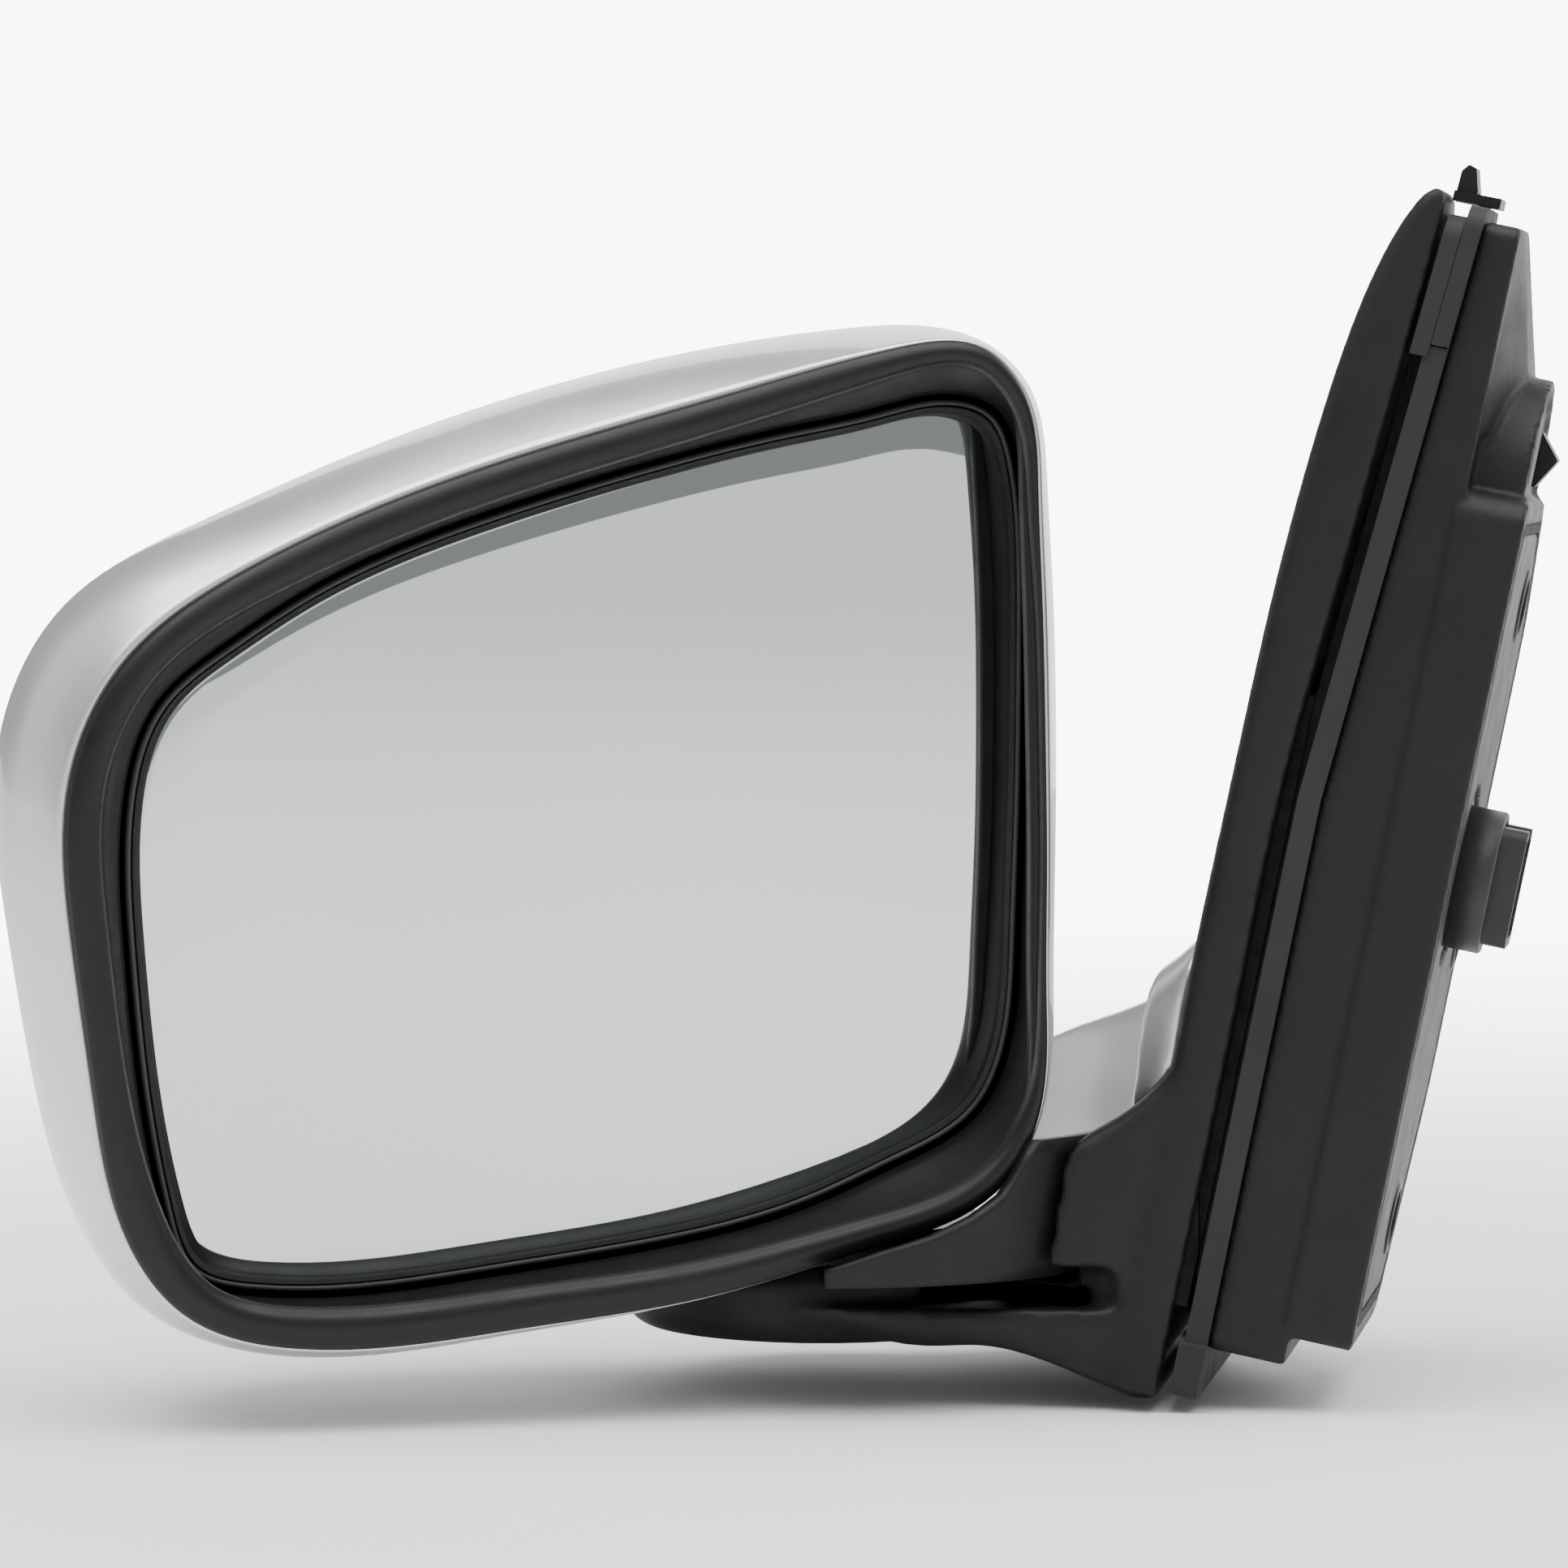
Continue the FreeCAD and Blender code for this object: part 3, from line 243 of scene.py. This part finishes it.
def disc(radius, z0, z1, segments=128):
    """Upright cylinder round the fold axis."""
    rings = []
    for z in (z0, z1):
        rings.append([(AXIS.x + radius * math.cos(a), AXIS.y + radius * math.sin(a), z)
                      for a in np.linspace(0, 2 * math.pi, segments, endpoint=False)])
    verts = rings[0] + rings[1]
    n = segments
    faces = [tuple(range(n))[::-1], tuple(range(n, 2 * n))]
    faces += [(i, (i + 1) % n, n + (i + 1) % n, n + i) for i in range(n)]
    return mesh_object("cutter", verts, faces, Matrix.Identity(4))


def soften(node, voxel, rounds):
    """Moulded copy of a CAD node: its edges rounded by a fine remesh."""
    source = NODES[node]
    obj = bpy.data.objects.new(node + "_skin", source.data.copy())
    bpy.context.scene.collection.objects.link(obj)
    obj.data.materials.clear()
    weld = obj.modifiers.new("weld", "WELD")
    weld.merge_threshold = 1e-6
    remesh = obj.modifiers.new("remesh", "REMESH")
    remesh.mode, remesh.voxel_size, remesh.use_smooth_shade = "VOXEL", voxel * MM, True
    relax = obj.modifiers.new("relax", "SMOOTH")
    relax.factor, relax.iterations = 0.5, rounds
    apply_modifiers(obj)
    for polygon in obj.data.polygons:
        polygon.use_smooth = True
    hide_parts(node)
    return obj


# ---------------------------------------------------------------- materials
def material(name, color, roughness, metallic=0.0, **sockets):
    mat = bpy.data.materials.new(name)
    mat.use_nodes = True
    shader = mat.node_tree.nodes["Principled BSDF"]
    shader.inputs["Base Color"].default_value = (*color, 1)
    shader.inputs["Roughness"].default_value = roughness
    shader.inputs["Metallic"].default_value = metallic
    for key, value in sockets.items():
        shader.inputs[key.replace("_", " ")].default_value = value
    return mat


def node(mat, kind, inputs=None, **settings):
    made = mat.node_tree.nodes.new(kind)
    for key, value in settings.items():
        setattr(made, key, value)
    for key, value in (inputs or {}).items():
        if isinstance(value, bpy.types.NodeSocket):
            mat.node_tree.links.new(value, made.inputs[key])
        else:
            made.inputs[key].default_value = value
    return made


def noise(mat, scale, detail=3.0, roughness=0.5):
    place = node(mat, "ShaderNodeTexCoord").outputs["Object"]
    return node(mat, "ShaderNodeTexNoise",
                {"Vector": place, "Scale": scale, "Detail": detail, "Roughness": roughness})


def vary(mat, fac, low, high, target):
    """Drive a shader input by a texture, between two values or colours."""
    shader = mat.node_tree.nodes["Principled BSDF"]
    ramp = node(mat, "ShaderNodeValToRGB", {"Fac": fac})
    ends = ramp.color_ramp.elements
    for end, value in zip(ends, (low, high)):
        end.color = (*value, 1) if isinstance(value, tuple) else (value, value, value, 1)
    ends[0].position, ends[1].position = 0.3, 0.7
    mat.node_tree.links.new(ramp.outputs["Color"], shader.inputs[target])


def bump(mat, layers, distance):
    """Stack of noise bumps: (scale, strength)."""
    shader = mat.node_tree.nodes["Principled BSDF"]
    last = None
    for scale, strength in layers:
        height = noise(mat, scale, 2.0)
        inputs = {"Height": height.outputs["Fac"], "Strength": strength, "Distance": distance}
        if last is not None:
            inputs["Normal"] = last
        last = node(mat, "ShaderNodeBump", inputs).outputs["Normal"]
    mat.node_tree.links.new(last, shader.inputs["Normal"])


def plastic(name, color, rough, grain=2600.0, strength=0.25):
    mat = material(name, color, rough, Specular_IOR_Level=0.24)
    light = tuple(min(1.0, c * 1.25) for c in color)
    vary(mat, noise(mat, 45.0, 4.0).outputs["Fac"], color, light, "Base Color")
    vary(mat, noise(mat, 120.0, 5.0).outputs["Fac"], rough - 0.05, rough + 0.07, "Roughness")
    bump(mat, [(grain, strength), (grain * 0.3, strength * 0.4)], 0.0002)
    return mat


def metal(name, color, rough, grain=900.0, strength=0.15):
    mat = material(name, color, rough, 1.0)
    dark = tuple(c * 0.8 for c in color)
    vary(mat, noise(mat, 80.0, 5.0).outputs["Fac"], dark, color, "Base Color")
    vary(mat, noise(mat, 260.0, 4.0).outputs["Fac"], rough - 0.06, rough + 0.1, "Roughness")
    bump(mat, [(grain, strength)], 0.0002)
    return mat


def paint():
    """Silver clear-coated paint with fine flake."""
    mat = material("silver_paint", (0.5, 0.5, 0.505), 0.34, 0.8, Coat_Weight=0.7,
                   Coat_Roughness=0.06)
    vary(mat, noise(mat, 5200.0, 2.0).outputs["Fac"], (0.56, 0.565, 0.57), (0.68, 0.68, 0.685),
         "Base Color")
    vary(mat, noise(mat, 60.0, 3.0).outputs["Fac"], 0.31, 0.37, "Roughness")
    bump(mat, [(5200.0, 0.03)], 0.0002)
    return mat


def mirror():
    mat = material("mirror_glass", (0.62, 0.645, 0.645), 0.015, 1.0)
    vary(mat, noise(mat, 14.0, 4.0).outputs["Fac"], (0.615, 0.64, 0.64), (0.63, 0.655, 0.655),
         "Base Color")
    vary(mat, noise(mat, 40.0, 5.0).outputs["Fac"], 0.01, 0.035, "Roughness")
    return mat


# One material for each slot of the record.
MATERIALS = {
    "silver_paint": paint(),
    "black_trim": plastic("black_trim", (0.0078, 0.0086, 0.0086), 0.4, 3600.0, 0.1),
    "black_grain": plastic("black_grain", (0.0075, 0.0079, 0.0079), 0.48, 1900.0, 0.35),
    "rubber": plastic("rubber", (0.017, 0.018, 0.018), 0.62, 2600.0, 0.2),
    "foam": plastic("foam", (0.02, 0.02, 0.02), 0.85, 1500.0, 0.6),
    # Near-black casting colour: painted shade, so that its edge in the gap between the base cover
    # and the seal reads dark
    "cast_alloy": metal("cast_alloy", (0.03, 0.03, 0.031), 0.55, 700.0, 0.4),
    "frame_plastic": plastic("frame_plastic", (0.03, 0.03, 0.032), 0.5),
    "zinc_steel": metal("zinc_steel", (0.62, 0.6, 0.55), 0.3),
    "connector_plastic": plastic("connector_plastic", (0.03, 0.03, 0.032), 0.45),
    "pin_metal": metal("pin_metal", (0.72, 0.6, 0.34), 0.28),
    "nylon": plastic("nylon", (0.72, 0.7, 0.62), 0.42, 2000.0, 0.1),
    "spring_steel": metal("spring_steel", (0.4, 0.4, 0.42), 0.35),
    "drive_plastic": plastic("drive_plastic", (0.035, 0.035, 0.037), 0.48),
    "mirror_glass": mirror(),
    "motor_can": metal("motor_can", (0.55, 0.56, 0.57), 0.3),
    "wire_tape": plastic("wire_tape", (0.02, 0.02, 0.02), 0.6, 1200.0, 0.4),
}


def dress(obj, slot, body=None):
    """Give an object its slot's material and, for a new piece, the body that carries it."""
    obj.data.materials.clear()
    obj.data.materials.append(MATERIALS[slot])
    if body:
        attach(obj, body)
    return obj


for part in frame["record"]["subparts"]:
    dress(NODES[part["node"]], part["material_slot"])
    for polygon in NODES[part["node"]].data.polygons:
        polygon.use_smooth = False

# ---------------------------------------------------------------- head
rim, lip, wide, throat = (smooth_outline(o) for o in (RIM, LIP, WIDE, THROAT))


def outline_at(y):
    """Outer outline of the head at a depth behind the rim."""
    if y <= SIDE_DEPTH:
        t = y / SIDE_DEPTH
        return between(rim, wide, t * (2.0 - t) * 0.86 + 0.14 * t)
    full = 1.0 - min(1.0, (y - SIDE_DEPTH) / NOSE_DEPTH) ** 3.2
    scale = np.array([full ** 0.42, full ** 0.46])
    return between(np.array(NOSE), wide, scale)


def make_shell():
    """Painted shell with a rolled front edge, a wall, and the opening over the pivot."""
    depths = [PARTING + 0.35] + list(np.linspace(PARTING + 1.2, SIDE_DEPTH, 11))
    depths += [SIDE_DEPTH + NOSE_DEPTH * math.sin(a)
               for a in np.linspace(0.0, math.pi / 2, 42)[1:-1]]
    outer = [at_depth(grow(outline_at(PARTING), -0.9), PARTING + 0.05),
             at_depth(grow(outline_at(PARTING), -0.3), PARTING)]
    outer += [at_depth(outline_at(y), y) for y in depths]
    inner = [at_depth(grow(outline_at(y), -SHELL_WALL), y)
             for y in (PARTING + 0.3, 8, 14, 24, 40, 60, 76)]
    shell = skin("housing_skin", inner[::-1] + outer, HEAD, cap_last=True)
    close_holes(shell)
    carve(shell, disc(*NECK_HOLE))
    carve(shell, disc(*POD_HOLE))
    return shell


def front_of_glass(ring):
    """Depth of the convex mirror surface under an outline, glass frame."""
    return (ring ** 2).sum(1) / (2 * MIRROR_RADIUS) - MIRROR_RISE


def glass_ring(distance, behind):
    """Outline of the mirror moved outward and backward, glass frame."""
    ring = grow(mirror_edge, distance)
    return np.stack([ring[:, 0], front_of_glass(mirror_edge) + behind, ring[:, 1]], 1)


def matched(ring, reference):
    """Points of a closed 3-D ring in the directions of a flat reference outline."""
    angle = np.arctan2(ring[:, 2], ring[:, 0])
    wanted = np.arctan2(reference[:, 1], reference[:, 0])
    columns = [np.interp(wanted, angle, ring[:, k], period=2 * math.pi) for k in range(3)]
    return np.stack(columns, 1)


def collar(distance, behind):
    """Ring round the mirror edge, in the bezel's columns and the head's frame."""
    turn = HEAD.inverted() @ GLASS
    ring = np.array([turn @ Vector(p) for p in glass_ring(distance, behind)])
    return matched(ring, lip)


def scoop(share, hollow):
    """Ring of the concave wall from the lip down to the mirror edge."""
    end = collar(2.3, -0.6)
    flat = grow(between(lip, end[:, [0, 2]], share), hollow)
    return np.stack([flat[:, 0], between(LIP_DEPTH, end[:, 1], share), flat[:, 1]], 1)


def make_bezel():
    """Rim: rolled outer edge, crowned face, soft lip and the scoop down to the mirror."""
    face = [(grow(rim, -2.6), 6.0), (grow(rim, -2.4), 2.6), (grow(rim, -0.6), PARTING - 0.1),
            (grow(rim, -0.15), PARTING - 0.5), (rim, 0.3), (between(rim, lip, 0.1), -0.55),
            (between(rim, lip, 0.26), -1.2), (between(rim, lip, 0.45), -1.5),
            (between(rim, lip, 0.62), -1.45), (between(rim, lip, 0.78), -1.05),
            (between(rim, lip, 0.9), -0.3), (between(rim, lip, 0.98), 0.9), (lip, LIP_DEPTH)]
    back = [(grow(throat, 2.6), 30.0), (grow(throat, 2.0), 22.0),
            (grow(between(lip, throat, 0.6), 2.0), 11.5), (grow(lip, 2.2), 6.2)]
    section = [at_depth(r, y) for r, y in face]
    section += [scoop(share, hollow) for share, hollow in
                ((0.15, 0.5), (0.4, 1.0), (0.65, 0.9), (0.85, 0.45), (1, 0))]
    flange_back = FLANGE_DEPTH + FLANGE_THICK
    section += [collar(2.5, 0.8), collar(4.4, 8.0), at_depth(throat * 0.97, FLANGE_DEPTH),
                at_depth(throat * 0.9, FLANGE_DEPTH), at_depth(throat * 0.9, flange_back),
                at_depth(grow(throat, 2.0), flange_back)]
    section += [at_depth(r, y) for r, y in back]
    return skin("bezel_skin", section, HEAD, loop=True)


def make_mirror():
    """Convex glass plate, 2 mm thick, with a small bevel at its edge."""
    rings = []
    for behind, shares in ((0.0, (0.02, 0.15, 0.3, 0.45, 0.6, 0.75, 0.88, 0.97, 0.995)),
                           (2.0, (0.99, 0.6, 0.3, 0.02))):
        for share in shares:
            ring = mirror_edge * share
            bevel = 0.35 if share == 0.995 else 0.0
            depth = front_of_glass(ring) + behind + bevel
            rings.append(np.stack([ring[:, 0], depth, ring[:, 1]], 1))
    return close_holes(skin("mirror_skin", rings, GLASS))


def make_mirror_rim():
    """Thin edge of the holder that shows round the glass."""
    section = [(0.05, -0.15), (0.7, -0.1), (1.05, 0.4), (1.0, 2.6), (-3.0, 3.4), (-3.0, 2.15),
               (0.05, 2.15)]
    return skin("mirror_rim", [glass_ring(d, y) for d, y in section], GLASS, loop=True)


def make_head_foot():
    """Black skirt under the head's door end that closes the space over the arm."""
    radii, heights = zip(*FOOT_SIDE)
    rings = []
    for degrees in np.linspace(FOOT_ANGLES[0], FOOT_ANGLES[-1], 58):
        top = np.interp(degrees, FOOT_ANGLES, FOOT_TOPS)
        levels = np.linspace(FOOT_LOW, top, 9)
        outer = np.interp(levels, heights, radii)
        plate_top = FOOT_LOW + FOOT_PLATE
        loop = [(FOOT_HOLE, FOOT_LOW)] + list(zip(outer, levels))
        loop += [(r - FOOT_WALL, max(z, plate_top)) for r, z in zip(outer[::-1], levels[::-1])]
        loop += [(FOOT_HOLE, plate_top)]
        turn = math.radians(degrees)
        rings.append([(AXIS.x + r * math.cos(turn), AXIS.y + r * math.sin(turn), z)
                      for r, z in loop])
    return close_holes(skin("head_foot", rings, Matrix.Identity(4)))


mirror_edge = smooth_outline(MIRROR)
shell = dress(make_shell(), "silver_paint", "head")
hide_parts("housing_shell")
bezel = dress(make_bezel(), "black_trim", "head")
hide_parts("bezel")
glass = dress(make_mirror(), "mirror_glass", "glass")
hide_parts("mirror_glass")
dress(make_mirror_rim(), "drive_plastic", "glass")
dress(make_head_foot(), "black_grain", "head")

# ---------------------------------------------------------------- base
dress(soften("base_cover", 1.3, 6), "black_grain", "base")
dress(soften("arm_fairing", 1.0, 40), "silver_paint", "base")
dress(soften("door_base", 0.8, 2), "black_grain", "base")
gasket = bpy.data.objects.new("upper_gasket_foot", NODES["upper_seal"].data.copy())
bpy.context.scene.collection.objects.link(gasket)
gasket.data.transform(Matrix.Translation((BASE @ GASKET_SHIFT) * MM))
dress(gasket, "rubber", "base")
dress(tube("connector_collar", PLUG_AT, (14.6, 12.6), -0.8, 7.0), "connector_plastic", "base")
for number, at in enumerate(STUDS):
    dress(tube("stud_ring_%d" % number, at, (7.8, 6.2), -0.6, 0.5), "black_trim", "base")


# ---------------------------------------------------------------- studio
def around(azimuth, elevation, distance):
    """Place at a distance from the target; azimuth 0 is in front, 90 is to the right."""
    a, e = math.radians(azimuth), math.radians(elevation)
    return TARGET + Vector((math.sin(a) * math.cos(e), -math.cos(a) * math.cos(e),
                            math.sin(e))) * distance


camera = bpy.data.objects.new("camera", bpy.data.cameras.new("camera"))
bpy.context.scene.collection.objects.link(camera)
camera.location = around(10.0, 3.0, 1.3)
camera.rotation_mode = "QUATERNION"
camera.rotation_quaternion = (TARGET - camera.location).to_track_quat("-Z", "Y")
camera.data.sensor_width, camera.data.lens = 36.0, 147.76
bpy.context.scene.camera = camera


def softbox(name, azimuth, elevation, distance, size, power, seen=True):
    """Area light aimed at the object; an unseen one never shows in the picture itself."""
    light = bpy.data.lights.new(name, "AREA")
    light.shape, light.size, light.size_y, light.energy = "RECTANGLE", size[0], size[1], power
    obj = bpy.data.objects.new(name, light)
    bpy.context.scene.collection.objects.link(obj)
    obj.location = around(azimuth, elevation, distance)
    obj.rotation_mode = "QUATERNION"
    obj.rotation_quaternion = (TARGET - obj.location).to_track_quat("-Z", "Y")
    obj.visible_camera = seen


softbox("top", 0.0, 76.0, 1.6, (2.6, 1.8), 80.0)
softbox("left", -95.0, 14.0, 1.7, (0.9, 1.8), 3.0)
softbox("right", 112.0, 12.0, 1.8, (1.0, 2.0), 20.0)
softbox("front", 10.0, 30.0, 2.4, (1.6, 1.2), 4.0)
softbox("back", 168.0, 14.0, 2.2, (3.0, 2.2), 44.0, seen=False)


def light_path_color(tree, lighting, seen):
    """Colour that lights the scene with one value and meets the camera with another."""
    path = tree.nodes.new("ShaderNodeLightPath")
    mix = tree.nodes.new("ShaderNodeMix")
    mix.data_type = "RGBA"
    mix.inputs[6].default_value = (*lighting, 1)
    mix.inputs[7].default_value = (seen, seen, seen, 1)
    tree.links.new(path.outputs["Is Camera Ray"], mix.inputs[0])
    return mix.outputs[2]


def studio_floor():
    """Pale floor that fades into the white surroundings."""
    mat = material("floor", (0.86, 0.86, 0.86), 0.8)
    tree = mat.node_tree
    glow = node(mat, "ShaderNodeEmission",
                {"Color": light_path_color(tree, (1.3, 1.3, 1.3), BACKDROP)})
    place = node(mat, "ShaderNodeTexCoord").outputs["Object"]
    away = node(mat, "ShaderNodeVectorMath", {0: place, 1: (-0.12, 0.0, 0.0)},
                operation="DISTANCE")
    fade = node(mat, "ShaderNodeMapRange", {"Value": away.outputs["Value"], "From Min": 0.2,
                                            "From Max": 1.5}, interpolation_type="SMOOTHSTEP")
    blend = node(mat, "ShaderNodeMixShader", {0: fade.outputs["Result"]})
    surface = tree.nodes["Principled BSDF"].outputs["BSDF"]
    tree.links.new(surface, blend.inputs[1])
    tree.links.new(glow.outputs["Emission"], blend.inputs[2])
    tree.links.new(blend.outputs["Shader"], tree.nodes["Material Output"].inputs["Surface"])
    return mat


floor_mesh = bpy.data.meshes.new("floor")
floor_mesh.from_pydata([(-6, -6, 0), (6, -6, 0), (6, 6, 0), (-6, 6, 0)], [], [(0, 1, 2, 3)])
floor = bpy.data.objects.new("floor", floor_mesh)
floor.location.z = cad_box[0][2] - 0.002
bpy.context.scene.collection.objects.link(floor)
floor.data.materials.append(studio_floor())

world = bpy.data.worlds.new("studio")
world.use_nodes = True
bpy.context.scene.world = world
background = world.node_tree.nodes["Background"]
surround = light_path_color(world.node_tree, (0.36, 0.37, 0.375), BACKDROP)
world.node_tree.links.new(surround, background.inputs["Color"])
background.inputs["Strength"].default_value = 1.0

# ---------------------------------------------------------------- scene update
bpy.context.view_layer.update()
